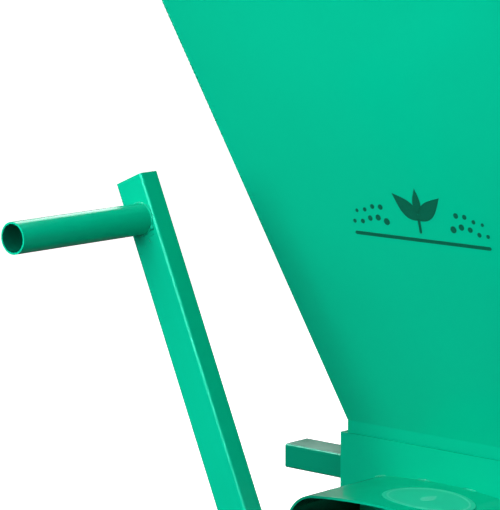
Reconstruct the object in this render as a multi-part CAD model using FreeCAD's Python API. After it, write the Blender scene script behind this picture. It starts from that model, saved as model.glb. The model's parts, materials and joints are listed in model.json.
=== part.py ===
"""Hand-cranked garden spreader: hopper, body with flow gate and paddle rotor, wheeled stand.

Millimetres. X runs to the right along the front, Y runs from the crank towards the push handle,
Z is up. The floor is Z = 0, X = 0 is the middle of the machine and Y = 0 is the middle of its length.
The building functions use a Y that starts at the outer face of the front wall; export() shifts it.
"""
import FreeCAD, Part
import math
import os

V = FreeCAD.Vector

# ---- driving dimensions: general --------------------------------------------------------------
SHAFT_Z = 500.0            # rotor shaft above the floor
SHAFT_R = 10.0
RUNNING_FIT = 0.05         # radial clearance in bearings
MOVING_GAP = 0.5           # air between pieces that pass each other
SHEET = 2.0                # body and hood sheet
TUBE_WALL = 2.0
TUBE_CORNER = 2.5          # outer corner radius of rectangular tube

BOLT_R = 4.0
BOLT_CLEARANCE = 0.3
BOLT_FLATS = 13.0
BOLT_HEAD = 5.3
NUT_H = 6.5
BOLT_END = 2.5             # thread past the nut

# ---- driving dimensions: body and hopper ---------------------------------------------------------
BODY_W = 216.0
BODY_D = 154.0
BODY_ABOVE_SHAFT = 118.0
WALL_BELOW_TROUGH = 4.0

HOPPER_SHEET = 1.5
HOPPER_HEIGHT = 420.0      # crease to rim
HOPPER_CREASE = 10.0       # crease above the body's top edge
HOPPER_INSET = 4.3         # skirt's outer face inside the body's outer face
SKIRT_DROP = 26.0          # skirt below the body's top edge
SIDE_FLARE = 0.355         # outward run per unit of height
FRONT_FLARE = 0.265
RIM_LIP = 15.0
RIM_HEM = 8.0              # turned-down edge of the rim
SEAL_HEIGHT = 12.0
SEAL_TOP_DROP = 10.0

HOOD_HALF_W = 88.0
HOOD_ABOVE_SHAFT = 90.0
HOOD_LENGTH = 94.0
HOOD_SHOULDER_R = 32.0
HOOD_CROWN_R = 530.0
CHUTE_DROP = 62.0          # floor's fall from the body to its nose
CHUTE_NOSE = 74.0          # floor beyond the hood's front edge
CHEEK_LAP = 18.0           # cheeks above the hood's lower edge
CHEEK_NOSE_H = 26.0

# ---- driving dimensions: rotor, gate and bearings ---------------------------------------------------
ROTOR_R = 47.0
TROUGH_GAP = 9.0           # paddle tips to trough
ROTOR_TUBE_R = 16.0
ROTOR_TUBE_INSET = 16.0    # tube's front end inside the hood's front edge
ROTOR_REAR_GAP = 6.0
PADDLE_T = 3.0
PADDLE_W = 32.0
PADDLE_PITCH_ANGLE = 45.0
PADDLE_STEP = 16.0         # along the shaft
PADDLE_FIRST = 18.0        # first paddle behind the front wall
BODY_PADDLES = 8
HOOD_PADDLES = 4

GATE_T = 3.0
GATE_GAP = 8.0             # paddle tips to gate plate
GATE_TONGUE = 64.0         # width of the upturned end
GATE_EDGE = 5.0            # strip of side wall left beside the slot
GATE_END_GAP = 4.0         # tongue to left wall, and plate end to right wall, when shut
TONGUE_LAP = 3.5           # trimmed strip beside the tongue, measured from its bend
TONGUE_LIP = 3.0           # tongue above the pull bar
GUIDE_W = 12.0
GUIDE_COVER = 6.0          # guide above and below the plate
GUIDE_STOP = 3.0           # closed end of the groove
PULL_BAR_REACH = 116.0     # bar's free end beyond the side wall
PULL_BAR_W = 32.0
PULL_BAR_H = 22.0
THROAT_DROP = 5.0          # front opening's top edge below the gate
SLOPE_DROP = 14.0          # slope plates' top edge below the gate
SLOPE_EDGE = 3.0           # thickness of that edge, along the wall

BUSH_T = 4.0
SHAFT_HOLE_GAP = 2.0       # radial, where the shaft passes through sheet
BOSS_WALL = 11.0
BOSS_LENGTH = 18.0
FLANGE_HALF_W = 50.0
FLANGE_HALF_H = 15.0
FLANGE_T = 6.0
BEARING_BOLT_X = 38.0
BRIDGE_T = 5.0
BRIDGE_HALF_H = 22.0
BRIDGE_INSET = 4.0         # bridge behind the hood's front edge
COLLAR_LENGTH = 10.0
SHAFT_TAIL = 1.5           # shaft past the collar
SHAFT_NOSE = 6.0           # shaft past the crank hub

# ---- driving dimensions: crank -----------------------------------------------------------------------
CRANK_R = 350.0
CRANK_OVERHANG = 34.0
CRANK_LEAN = 23.5          # degrees from vertical at rest, towards -X
CRANK_PLANE = 212.0        # front face of the arm, ahead of the body's front wall
ARM_W = 30.0
ARM_D = 20.0
GRIP_R = 12.7
GRIP_WALL = 1.5
GRIP_LENGTH = 140.0
HUB_WALL = 11.0
HUB_PROUD = 12.0
SCREW_R = 3.0
SCREW_PROUD = 6.0

# ---- driving dimensions: stand -------------------------------------------------------------------------
RAIL_H = 30.0
RAIL_W = 20.0
RAIL_TOP_BELOW_SHAFT = 16.0
RAIL_NOSE = 62.0           # rails ahead of the front wall
RAIL_TAIL = 82.0           # rails behind the rear wall
RAIL_BOLT_INSET = 30.0     # bolts from the front and rear walls
LEG_INSET = 2.0            # front legs' edge behind the rail ends
FOOT_T = 6.0
FOOT_HALF_SPREAD = 200.0
FOOT_LENGTH = 64.0
FOOT_WIDTH = 44.0
FRONT_CROSSBAR_Z = 170.0
REAR_CROSSBAR_Z = 300.0
REAR_LEG_SPREAD = 158.0
REAR_LEG_TAIL = 22.0       # rear legs below the axle's centre

WHEEL_R = 130.0
WHEEL_W = 44.0
WHEEL_BEHIND = 36.0        # axle behind the rear wall
WHEEL_INNER_X = 196.0
TYRE_DEPTH = 38.0
TYRE_CROWN = 12.0          # tread's middle above its edges
TYRE_TAPER = 6.0           # seat narrower than the tread, each side
RIM_T = 3.0
RIM_DISH = 11.0            # disc's outer ring beside its inner ring
RIM_RING = 13.0            # width of each of those rings
AXLE_R = 10.0
AXLE_END = 6.5             # axle past the outer washers' outer face
WHEEL_HUB_WALL = 5.0
WHEEL_HUB_PROUD = 4.0
WASHER_T = 2.5
WASHER_W = 8.0
COTTER_R = 2.0
COTTER_HEAD_R = 3.2
COTTER_GAP = 0.5           # cotter's head to washer
COTTER_STAND = 6.0         # head's centre above the axle

HANDLE_POST_R = 11.0
HANDLE_R = 12.5            # crossbar
HANDLE_TOP_Z = 900.0
HANDLE_REACH = 210.0       # top of the handle behind the rail ends
HANDLE_LAP = 70.0          # posts' lower ends ahead of the rail ends
HANDLE_FOOT_DROP = 8.0     # posts' lower ends below the rails' middle
SLEEVE_T = 3.0             # rubber sleeve on the handle
SLEEVE_LENGTH = 160.0

# ---- values that follow -----------------------------------------------------------------------------------
CUT = 1.0                  # cutting shapes pass a face by this much
FAR = 1000.0               # cutting shapes that only need to reach past everything

HALF_W = BODY_W / 2
MID_Y = BODY_D / 2
TROUGH_R = ROTOR_R + TROUGH_GAP
WALL_DROP = TROUGH_R + SHEET + WALL_BELOW_TROUGH
BODY_TOP = SHAFT_Z + BODY_ABOVE_SHAFT
BODY_BOTTOM = SHAFT_Z - WALL_DROP
CREASE_Z = BODY_TOP + HOPPER_CREASE
RIM_Z = CREASE_Z + HOPPER_HEIGHT
SKIRT_BOTTOM = BODY_TOP - SKIRT_DROP
SKIRT_X = HALF_W - HOPPER_INSET
SKIRT_Y = MID_Y - HOPPER_INSET
GATE_BOTTOM = SHAFT_Z + ROTOR_R + GATE_GAP
GATE_TOP = GATE_BOTTOM + GATE_T
BUSH_R = SHAFT_R + BUSH_T
BRIDGE_Y = BRIDGE_INSET - HOOD_LENGTH
HUB_R = SHAFT_R + HUB_WALL
ARM_FRONT = -CRANK_PLANE
ARM_BACK = ARM_FRONT + ARM_D
GRIP_FRONT = ARM_FRONT - GRIP_LENGTH
RAIL_TOP = SHAFT_Z - RAIL_TOP_BELOW_SHAFT
RAIL_BOTTOM = RAIL_TOP - RAIL_H
RAIL_MIDDLE = RAIL_TOP - RAIL_H / 2
RAIL_X = HALF_W + RAIL_W / 2
RAIL_FRONT = -RAIL_NOSE
RAIL_REAR = BODY_D + RAIL_TAIL
WHEEL_Y = BODY_D + WHEEL_BEHIND
SEAT_R = WHEEL_R - TYRE_DEPTH
WHEEL_BUSH_R = AXLE_R + BUSH_T
WHEEL_HUB_R = WHEEL_BUSH_R + WHEEL_HUB_WALL
WHEEL_HUB_HALF = WHEEL_W / 2 + WHEEL_HUB_PROUD
HANDLE_Y = RAIL_REAR + HANDLE_REACH
HANDLE_POST_X = RAIL_X + RAIL_W / 2 + HANDLE_POST_R
CENTRE_Y = (GRIP_FRONT + HANDLE_Y + HANDLE_R + SLEEVE_T) / 2

SIDES = (("left", -1), ("right", 1))
PARTS = {}


# ---- small helpers ------------------------------------------------------------------------------------------
def box(x0, x1, y0, y1, z0, z1):
    return Part.makeBox(x1 - x0, y1 - y0, z1 - z0, V(x0, y0, z0))


def rod_x(r, y, z, x0, x1):
    return Part.makeCylinder(r, x1 - x0, V(x0, y, z), V(1, 0, 0))


def rod_y(r, x, z, y0, y1):
    return Part.makeCylinder(r, y1 - y0, V(x, y0, z), V(0, 1, 0))


def rod_z(r, x, y, z0, z1):
    return Part.makeCylinder(r, z1 - z0, V(x, y, z0), V(0, 0, 1))


def ring_x(r_out, r_in, y, z, x0, x1):
    return rod_x(r_out, y, z, x0, x1).cut(rod_x(r_in, y, z, x0, x1))


def ring_y(r_out, r_in, x, z, y0, y1):
    return rod_y(r_out, x, z, y0, y1).cut(rod_y(r_in, x, z, y0, y1))


def round_tube(start, end, r, wall):
    along = end.sub(start)
    outer = Part.makeCylinder(r, along.Length, start, along)
    return outer.cut(Part.makeCylinder(r - wall, along.Length, start, along))


def loop(points):
    return Part.makePolygon(points + [points[0]])


def prism(points, along):
    """Flat polygon pushed along a vector."""
    return Part.Face(loop(points)).extrude(along)


def hexagon(flats, centre, along):
    """Hexagonal prism with its middle on centre's axis; along points along X or Y."""
    radius = flats / math.sqrt(3)
    across = V(0, 1, 0) if along.x else V(1, 0, 0)
    corners = []
    for k in range(6):
        angle = math.radians(60 * k)
        out = V(across).multiply(radius * math.cos(angle))
        corners.append(centre.add(out).add(V(0, 0, radius * math.sin(angle))))
    return prism(corners, along)


def through_bolt(head_face, nut_face):
    """Hexagon bolt whose head stands on one point of its axis and whose nut stands on the other."""
    inward = V(nut_face.sub(head_face)).normalize()
    outward = inward.negative()
    grip = nut_face.sub(head_face).Length
    nut_along = V(inward).multiply(NUT_H)
    head = hexagon(BOLT_FLATS, head_face, V(outward).multiply(BOLT_HEAD))
    shank = Part.makeCylinder(BOLT_R, grip + NUT_H + BOLT_END, head_face, inward)
    nut = hexagon(BOLT_FLATS, nut_face, nut_along)
    nut = nut.cut(Part.makeCylinder(BOLT_R, NUT_H, nut_face, inward))
    return [head.fuse(shank).removeSplitter(), nut]


def rounded_rectangle(w, d, r):
    """Closed wire about the origin in the XY plane."""
    a, b, k = w / 2, d / 2, r * (1 - math.sqrt(0.5))
    edges = []
    for sx, sy in ((1, 1), (-1, 1), (-1, -1), (1, -1)):
        on_side = V(sx * a, sy * (b - r), 0)
        on_top = V(sx * (a - r), sy * b, 0)
        corner = V(sx * (a - k), sy * (b - k), 0)
        edges.append(Part.Arc(on_side, corner, on_top).toShape())
    edges.append(Part.makeLine(V(a - r, b, 0), V(r - a, b, 0)))
    edges.append(Part.makeLine(V(-a, b - r, 0), V(-a, r - b, 0)))
    edges.append(Part.makeLine(V(r - a, -b, 0), V(a - r, -b, 0)))
    edges.append(Part.makeLine(V(a, r - b, 0), V(a, b - r, 0)))
    return Part.Wire(Part.__sortEdges__(edges))


def rectangular_bar(start, end, w, d, w_dir, r):
    """Solid bar from start to end; w lies along w_dir, d along the third direction."""
    along = end.sub(start)
    z_dir = V(along).normalize()
    x_dir = V(w_dir).normalize()
    rotation = FreeCAD.Rotation(x_dir, z_dir.cross(x_dir), z_dir, "ZXY")
    solid = Part.Face(rounded_rectangle(w, d, r)).extrude(V(0, 0, along.Length))
    solid.Placement = FreeCAD.Placement(start, rotation)
    return solid


def rectangular_tube(start, end, w, d, w_dir):
    inner_r = max(TUBE_CORNER - TUBE_WALL, TUBE_WALL / 4)
    outer = rectangular_bar(start, end, w, d, w_dir, TUBE_CORNER)
    bore = rectangular_bar(start, end, w - 2 * TUBE_WALL, d - 2 * TUBE_WALL, w_dir, inner_r)
    return outer.cut(bore)


def largest(shape):
    return max(shape.Solids, key=lambda solid: solid.Volume)


def add(name, *shapes):
    """A node is one solid, or several separate solids."""
    found = []
    for shape in shapes:
        found += [shape] if isinstance(shape, Part.Solid) else list(shape.Solids)
    PARTS[name] = found[0] if len(found) == 1 else Part.makeCompound(found)


# ---- hopper -------------------------------------------------------------------------------------------------
def hopper_corner(z):
    """Outer half width and half depth of the hopper at a height."""
    rise = max(z - CREASE_Z, 0)
    return SKIRT_X + SIDE_FLARE * rise, SKIRT_Y + FRONT_FLARE * rise


def rectangle_at(half_x, half_y, z):
    signs = ((-1, -1), (1, -1), (1, 1), (-1, 1))
    return [V(sx * half_x, MID_Y + sy * half_y, z) for sx, sy in signs]


def frustum(inset):
    """Flared part of the hopper as a solid, its sides moved in by an inset."""
    loops = []
    for z in (CREASE_Z, RIM_Z):
        half_x, half_y = hopper_corner(z)
        loops.append(loop(rectangle_at(half_x - inset, half_y - inset, z)))
    return Part.makeLoft(loops, True, True)


def frame_of(half_x, half_y, wall, z0, z1):
    """Upright rectangular band with its outer faces at the half sizes."""
    outer = prism(rectangle_at(half_x, half_y, z0), V(0, 0, z1 - z0))
    return outer.cut(prism(rectangle_at(half_x - wall, half_y - wall, z0), V(0, 0, z1 - z0)))


def hopper_shell():
    top_x, top_y = hopper_corner(RIM_Z)
    lip_x, lip_y = top_x + RIM_LIP, top_y + RIM_LIP
    lip_z = RIM_Z - HOPPER_SHEET
    cone = frustum(0).cut(frustum(HOPPER_SHEET))
    skirt = frame_of(SKIRT_X, SKIRT_Y, HOPPER_SHEET, SKIRT_BOTTOM, CREASE_Z)
    lip = prism(rectangle_at(lip_x, lip_y, lip_z), V(0, 0, HOPPER_SHEET)).cut(frustum(0))
    hem = frame_of(lip_x, lip_y, HOPPER_SHEET, lip_z - RIM_HEM, lip_z)
    return cone.fuse([skirt, lip, hem]).removeSplitter()


def side_wedge(side, z0, z1):
    """Everything beyond the two mitre planes through the corner seams of one side."""
    reach = 2 * RIM_LIP
    loops = []
    for z in (z0, z1):
        x, y = hopper_corner(z)
        loops.append(loop([V(side * (x - reach), MID_Y - y + reach, z),
                           V(side * (x + reach), MID_Y - y - reach, z),
                           V(side * (x + reach), MID_Y + y + reach, z),
                           V(side * (x - reach), MID_Y + y - reach, z)]))
    return Part.makeLoft(loops, True, True)


def build_hopper():
    """Four bent panels that meet on the corner seams."""
    shell = hopper_shell()
    for name, side in SIDES:
        wedge = side_wedge(side, SKIRT_BOTTOM - CUT, CREASE_Z).fuse(
            side_wedge(side, CREASE_Z, RIM_Z + CUT))
        add("hopper_" + name + "_panel", shell.common(wedge))
        shell = shell.cut(wedge)
    for solid in shell.Solids:
        name = "front" if solid.CenterOfMass.y < MID_Y else "rear"
        add("hopper_" + name + "_panel", solid)


def build_seal():
    """Rubber strips between the skirt and the body's walls."""
    z1 = BODY_TOP - SEAL_TOP_DROP
    z0 = z1 - SEAL_HEIGHT
    out_x, out_y = HALF_W - SHEET, MID_Y - SHEET
    strips = [box(-out_x, out_x, MID_Y - out_y, MID_Y - SKIRT_Y, z0, z1),
              box(-out_x, out_x, MID_Y + SKIRT_Y, MID_Y + out_y, z0, z1),
              box(SKIRT_X, out_x, MID_Y - SKIRT_Y, MID_Y + SKIRT_Y, z0, z1),
              box(-out_x, -SKIRT_X, MID_Y - SKIRT_Y, MID_Y + SKIRT_Y, z0, z1)]
    add("hopper_seal", *strips)


# ---- body ------------------------------------------------------------------------------------------------------
def rail_bolt_y():
    return [RAIL_BOLT_INSET, BODY_D - RAIL_BOLT_INSET]


def bearing_bolt_holes(y0, y1):
    """Cutters for the two bolts beside the shaft."""
    r = BOLT_R + BOLT_CLEARANCE
    return rod_y(r, -BEARING_BOLT_X, SHAFT_Z, y0, y1).fuse(rod_y(r, BEARING_BOLT_X, SHAFT_Z, y0, y1))


def rail_bolt_holes(x0, x1):
    r = BOLT_R + BOLT_CLEARANCE
    first, second = rail_bolt_y()
    return rod_x(r, first, RAIL_MIDDLE, x0, x1).fuse(rod_x(r, second, RAIL_MIDDLE, x0, x1))


def build_front_and_rear_wall():
    opening = box(-TROUGH_R, TROUGH_R, -CUT, SHEET + CUT, SHAFT_Z, GATE_BOTTOM - THROAT_DROP)
    opening = opening.fuse(rod_y(TROUGH_R, 0, SHAFT_Z, -CUT, SHEET + CUT))
    front = box(-HALF_W, HALF_W, 0, SHEET, BODY_BOTTOM, BODY_TOP)
    add("body_front_wall", front.cut(opening))

    y0 = BODY_D - SHEET
    rear = box(-HALF_W, HALF_W, y0, BODY_D, BODY_BOTTOM, BODY_TOP)
    rear = rear.cut(rod_y(SHAFT_R + SHAFT_HOLE_GAP, 0, SHAFT_Z, y0, BODY_D))
    add("body_rear_wall", rear.cut(bearing_bolt_holes(y0, BODY_D)))


def build_side_walls():
    for name, side in SIDES:
        x0, x1 = sorted((side * HALF_W, side * (HALF_W - SHEET)))
        wall = box(x0, x1, SHEET, BODY_D - SHEET, BODY_BOTTOM, BODY_TOP)
        wall = wall.cut(rail_bolt_holes(x0, x1))
        if name == "left":
            y0, y1 = gate_span(MOVING_GAP)
            wall = wall.cut(box(x0, x1, y0, y1, GATE_BOTTOM - MOVING_GAP, GATE_TOP + MOVING_GAP))
        add("body_" + name + "_wall", wall)


def build_trough():
    y0, y1 = SHEET, BODY_D - SHEET
    pipe = ring_y(TROUGH_R + SHEET, TROUGH_R, 0, SHAFT_Z, y0, y1)
    add("trough", pipe.common(box(-HALF_W, HALF_W, y0, y1, BODY_BOTTOM - SHEET, SHAFT_Z)))
    wall_x = HALF_W - SHEET
    top_z = GATE_BOTTOM - SLOPE_DROP
    for name, side in SIDES:
        plate = prism([V(side * TROUGH_R, y0, SHAFT_Z), V(side * (TROUGH_R + SHEET), y0, SHAFT_Z),
                       V(side * wall_x, y0, top_z), V(side * wall_x, y0, top_z + SLOPE_EDGE)],
                      V(0, y1 - y0, 0))
        add(name + "_slope_plate", plate)


# ---- hood and chute ----------------------------------------------------------------------------------------------
def hood_outline(offset):
    """Inverted U: straight sides, rounded shoulders and a slightly crowned top."""
    half = HOOD_HALF_W - offset
    shoulder = HOOD_SHOULDER_R - offset
    crown_z = SHAFT_Z + HOOD_ABOVE_SHAFT - HOOD_CROWN_R
    centre_x = HOOD_HALF_W - HOOD_SHOULDER_R
    centre_z = crown_z + math.sqrt((HOOD_CROWN_R - HOOD_SHOULDER_R) ** 2 - centre_x ** 2)
    lean = math.atan2(centre_x, centre_z - crown_z)
    low = SHAFT_Z - WALL_DROP
    middle = (math.pi / 2 + lean) / 2
    summit = V(0, 0, crown_z + HOOD_CROWN_R - offset)

    def on_shoulder(side, angle):
        return V(side * (centre_x + shoulder * math.sin(angle)), 0, centre_z + shoulder * math.cos(angle))

    def shoulder_arc(side):
        ends = (math.pi / 2, middle, lean)
        return Part.Arc(*[on_shoulder(side, angle) for angle in ends]).toShape()

    edges = [Part.makeLine(V(-half, 0, low), on_shoulder(-1, math.pi / 2)),
             shoulder_arc(-1),
             Part.Arc(on_shoulder(-1, lean), summit, on_shoulder(1, lean)).toShape(),
             shoulder_arc(1),
             Part.makeLine(on_shoulder(1, math.pi / 2), V(half, 0, low)),
             Part.makeLine(V(half, 0, low), V(-half, 0, low))]
    return Part.Face(Part.Wire(Part.__sortEdges__(edges)))


def build_hood():
    outer = hood_outline(0).extrude(V(0, -HOOD_LENGTH, 0))
    inner = hood_outline(SHEET).extrude(V(0, -HOOD_LENGTH, 0))
    add("arched_hood", outer.cut(inner))


def build_chute():
    half = HOOD_HALF_W - SHEET
    nose = -HOOD_LENGTH - CHUTE_NOSE
    high = SHAFT_Z - TROUGH_R - SHEET
    low = high - CHUTE_DROP
    floor = prism([V(-half, 0, high), V(-half, nose, low), V(-half, nose, low - SHEET),
                   V(-half, 0, high - SHEET)], V(2 * half, 0, 0))
    add("chute_floor", floor)
    lap_z = SHAFT_Z - WALL_DROP + CHEEK_LAP
    for name, side in SIDES:
        x0 = -half if side < 0 else half - SHEET
        cheek = prism([V(x0, 0, lap_z), V(x0, 0, high - SHEET), V(x0, nose, low - SHEET),
                       V(x0, nose, low - SHEET + CHEEK_NOSE_H + SHEET), V(x0, -HOOD_LENGTH, lap_z)],
                      V(SHEET, 0, 0))
        add("chute_" + name + "_cheek", largest(cheek.cut(floor)))


# ---- flow gate -----------------------------------------------------------------------------------------------------
def gate_span(gap=0.0):
    """Lowest and highest Y of the gate plate, widened by a gap on each edge."""
    return SHEET + GATE_EDGE - gap, BODY_D - SHEET - GATE_EDGE + gap


def build_gate():
    y0, y1 = gate_span()
    tongue_y0, tongue_y1 = MID_Y - GATE_TONGUE / 2, MID_Y + GATE_TONGUE / 2
    bend = -HALF_W - GATE_END_GAP
    outer = bend - GATE_T
    flange_top = GATE_TOP + PULL_BAR_H + TONGUE_LIP
    plate = box(bend + TONGUE_LAP, HALF_W - SHEET - GATE_END_GAP, y0, y1, GATE_BOTTOM, GATE_TOP)
    tongue = box(outer, bend + TONGUE_LAP, tongue_y0, tongue_y1, GATE_BOTTOM, GATE_TOP)
    flange = box(outer, bend, tongue_y0, tongue_y1, GATE_TOP, flange_top)
    add("gate_plate", plate.fuse([tongue, flange]).removeSplitter())
    z_mid = GATE_TOP + PULL_BAR_H / 2
    start = V(outer, MID_Y, z_mid)
    end = V(-HALF_W - PULL_BAR_REACH, MID_Y, z_mid)
    add("gate_pull_bar", rectangular_tube(start, end, PULL_BAR_W, PULL_BAR_H, V(0, 1, 0)))


def build_guides():
    """Grooved rails along the front and rear walls that carry the gate plate's edges."""
    x0, x1 = SHEET - HALF_W, HALF_W - SHEET
    y0, y1 = gate_span(MOVING_GAP)
    groove = box(x0, x1 - GUIDE_STOP, y0, y1, GATE_BOTTOM - MOVING_GAP, GATE_TOP + MOVING_GAP)
    for name, low_y in (("front", SHEET), ("rear", BODY_D - SHEET - GUIDE_W)):
        block = box(x0, x1, low_y, low_y + GUIDE_W, GATE_BOTTOM - GUIDE_COVER, GATE_TOP + GUIDE_COVER)
        add("gate_" + name + "_guide", block.cut(groove))


# ---- rotor and bearings ------------------------------------------------------------------------------------------------
def build_shaft():
    y0 = ARM_FRONT - HUB_PROUD - SHAFT_NOSE
    y1 = BODY_D + BOSS_LENGTH + MOVING_GAP + COLLAR_LENGTH + SHAFT_TAIL
    add("rotor_shaft", rod_y(SHAFT_R, 0, SHAFT_Z, y0, y1))
    collar_y = BODY_D + BOSS_LENGTH + MOVING_GAP
    collar = ring_y(ROTOR_TUBE_R, SHAFT_R, 0, SHAFT_Z, collar_y, collar_y + COLLAR_LENGTH)
    add("shaft_collar", collar)


def paddle(y, turn):
    """Flat blade, welded to the rotor tube with its width set at the pitch angle."""
    blade = box(-PADDLE_W / 2, PADDLE_W / 2, -PADDLE_T / 2, PADDLE_T / 2, 0, ROTOR_R)
    blade.rotate(V(0, 0, 0), V(0, 0, 1), PADDLE_PITCH_ANGLE)
    blade.rotate(V(0, 0, 0), V(0, 1, 0), turn)
    blade.translate(V(0, y, SHAFT_Z))
    blade = blade.common(rod_y(ROTOR_R, 0, SHAFT_Z, y - PADDLE_W, y + PADDLE_W))
    return largest(blade.cut(rod_y(ROTOR_TUBE_R, 0, SHAFT_Z, y - PADDLE_W, y + PADDLE_W)))


def build_rotor():
    y0 = ROTOR_TUBE_INSET - HOOD_LENGTH
    y1 = BODY_D - SHEET - ROTOR_REAR_GAP
    add("rotor_tube", ring_y(ROTOR_TUBE_R, SHAFT_R, 0, SHAFT_Z, y0, y1))
    first = SHEET + PADDLE_FIRST
    paddles = []
    for k in range(-HOOD_PADDLES, BODY_PADDLES):
        paddles.append(paddle(first + k * PADDLE_STEP, 90 * k))
    add("rotor_paddles", *paddles)


def bearing(face, side):
    """Flanged housing and its bush, standing on a wall face and pointing to one side."""
    flange_y = sorted((face, face + side * FLANGE_T))
    boss_y = sorted((face, face + side * BOSS_LENGTH))
    flange = box(-FLANGE_HALF_W, FLANGE_HALF_W, *flange_y, SHAFT_Z - FLANGE_HALF_H,
                 SHAFT_Z + FLANGE_HALF_H)
    boss = rod_y(BUSH_R + BOSS_WALL, 0, SHAFT_Z, *boss_y)
    housing = flange.fuse(boss).removeSplitter().cut(rod_y(BUSH_R, 0, SHAFT_Z, *boss_y))
    bush = ring_y(BUSH_R, SHAFT_R + RUNNING_FIT, 0, SHAFT_Z, *boss_y)
    return housing.cut(bearing_bolt_holes(*flange_y)), bush


def build_bearings():
    half = HOOD_HALF_W - SHEET
    y1 = BRIDGE_Y + BRIDGE_T
    bridge = box(-half, half, BRIDGE_Y, y1, SHAFT_Z - BRIDGE_HALF_H, SHAFT_Z + BRIDGE_HALF_H)
    bridge = bridge.cut(rod_y(SHAFT_R + SHAFT_HOLE_GAP, 0, SHAFT_Z, BRIDGE_Y, y1))
    add("bearing_bridge", bridge.cut(bearing_bolt_holes(BRIDGE_Y, y1)))
    bolts = []
    for name, face, side, plate in (("front", BRIDGE_Y, -1, BRIDGE_T), ("rear", BODY_D, 1, SHEET)):
        housing, bush = bearing(face, side)
        add(name + "_bearing_housing", housing)
        add(name + "_bearing_bush", bush)
        for x in (-BEARING_BOLT_X, BEARING_BOLT_X):
            bolts += through_bolt(V(x, face + side * FLANGE_T, SHAFT_Z), V(x, face - side * plate, SHAFT_Z))
    add("bearing_bolts", *bolts)


# ---- crank --------------------------------------------------------------------------------------------------------------
def build_crank():
    lean = math.radians(CRANK_LEAN)
    along = V(-math.sin(lean), 0, math.cos(lean))
    across = V(math.cos(lean), 0, math.sin(lean))
    hub_y = (ARM_FRONT - HUB_PROUD, ARM_BACK + HUB_PROUD)
    screw_foot = V(0, ARM_BACK + HUB_PROUD / 2, SHAFT_Z)
    screw = Part.makeCylinder(SCREW_R, HUB_R + SCREW_PROUD, screw_foot, across)
    screw = screw.cut(rod_y(SHAFT_R, 0, SHAFT_Z, *hub_y))
    add("hub_screw", screw)
    add("crank_hub", ring_y(HUB_R, SHAFT_R, 0, SHAFT_Z, *hub_y).cut(screw))

    foot = V(0, ARM_FRONT + ARM_D / 2, SHAFT_Z)
    top = foot.add(V(along).multiply(CRANK_R + CRANK_OVERHANG))
    arm = rectangular_tube(foot, top, ARM_W, ARM_D, across)
    add("crank_arm", largest(arm.cut(rod_y(HUB_R, 0, SHAFT_Z, *hub_y))))
    grip_foot = V(0, ARM_FRONT, SHAFT_Z).add(V(along).multiply(CRANK_R))
    grip_end = grip_foot.sub(V(0, GRIP_LENGTH, 0))
    add("crank_grip", round_tube(grip_foot, grip_end, GRIP_R, GRIP_WALL))


# ---- stand ----------------------------------------------------------------------------------------------------------------
def build_rails():
    bolts = []
    for name, side in SIDES:
        x = side * RAIL_X
        rail = rectangular_tube(V(x, RAIL_FRONT, RAIL_MIDDLE), V(x, RAIL_REAR, RAIL_MIDDLE),
                                RAIL_H, RAIL_W, V(0, 0, 1))
        add(name + "_side_rail", rail.cut(rail_bolt_holes(x - RAIL_W, x + RAIL_W)))
        for y in rail_bolt_y():
            bolts += through_bolt(V(side * (HALF_W + RAIL_W), y, RAIL_MIDDLE),
                                  V(side * (HALF_W - SHEET), y, RAIL_MIDDLE))
    add("body_bolts", *bolts)


def leaning_leg(side, y, bottom_x, bottom_z):
    """Tube leg under a rail, leaning outwards, cut level at both ends."""
    top = V(side * RAIL_X, y, RAIL_BOTTOM)
    low = V(side * bottom_x, y, bottom_z)
    spare = V(low.sub(top)).normalize().multiply(RAIL_H)
    leg = rectangular_tube(top.sub(spare), low.add(spare), RAIL_H, RAIL_W, V(0, 1, 0))
    return leg.common(box(-FAR, FAR, y - RAIL_H, y + RAIL_H, bottom_z, RAIL_BOTTOM))


def crossbar(y, z0, leg_bottom_x, leg_bottom_z):
    """Square bar between two leaning legs, its ends mitred to their inner faces."""
    slope = (leg_bottom_x - RAIL_X) / (RAIL_BOTTOM - leg_bottom_z)
    half_leg = RAIL_W / 2 * math.sqrt(1 + slope ** 2)
    z1 = z0 + RAIL_W
    low_x = leg_bottom_x - slope * (z0 - leg_bottom_z) - half_leg
    high_x = leg_bottom_x - slope * (z1 - leg_bottom_z) - half_leg
    y0 = y - RAIL_W / 2
    return prism([V(-low_x, y0, z0), V(low_x, y0, z0), V(high_x, y0, z1), V(-high_x, y0, z1)],
                 V(0, RAIL_W, 0))


def build_front_legs():
    leg_y = RAIL_FRONT + LEG_INSET + RAIL_H / 2
    half_l, half_w = FOOT_LENGTH / 2, FOOT_WIDTH / 2
    for name, side in SIDES:
        x = side * FOOT_HALF_SPREAD
        add(name + "_front_leg", leaning_leg(side, leg_y, FOOT_HALF_SPREAD, FOOT_T))
        add(name + "_foot", box(x - half_w, x + half_w, leg_y - half_l, leg_y + half_l, 0, FOOT_T))
    add("front_crossbar", crossbar(leg_y, FRONT_CROSSBAR_Z, FOOT_HALF_SPREAD, FOOT_T))


def build_rear_legs():
    bottom_z = WHEEL_R - REAR_LEG_TAIL
    bore = rod_x(AXLE_R, WHEEL_Y, WHEEL_R, -FAR, FAR)
    for name, side in SIDES:
        add(name + "_rear_leg", leaning_leg(side, WHEEL_Y, REAR_LEG_SPREAD, bottom_z).cut(bore))
    add("rear_crossbar", crossbar(WHEEL_Y, REAR_CROSSBAR_Z, REAR_LEG_SPREAD, bottom_z))
    washer_face = WHEEL_INNER_X + WHEEL_W + WHEEL_HUB_PROUD + MOVING_GAP + WASHER_T
    end_x = washer_face + COTTER_GAP + COTTER_HEAD_R + AXLE_END
    add("axle", rod_x(AXLE_R, WHEEL_Y, WHEEL_R, -end_x, end_x))


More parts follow.
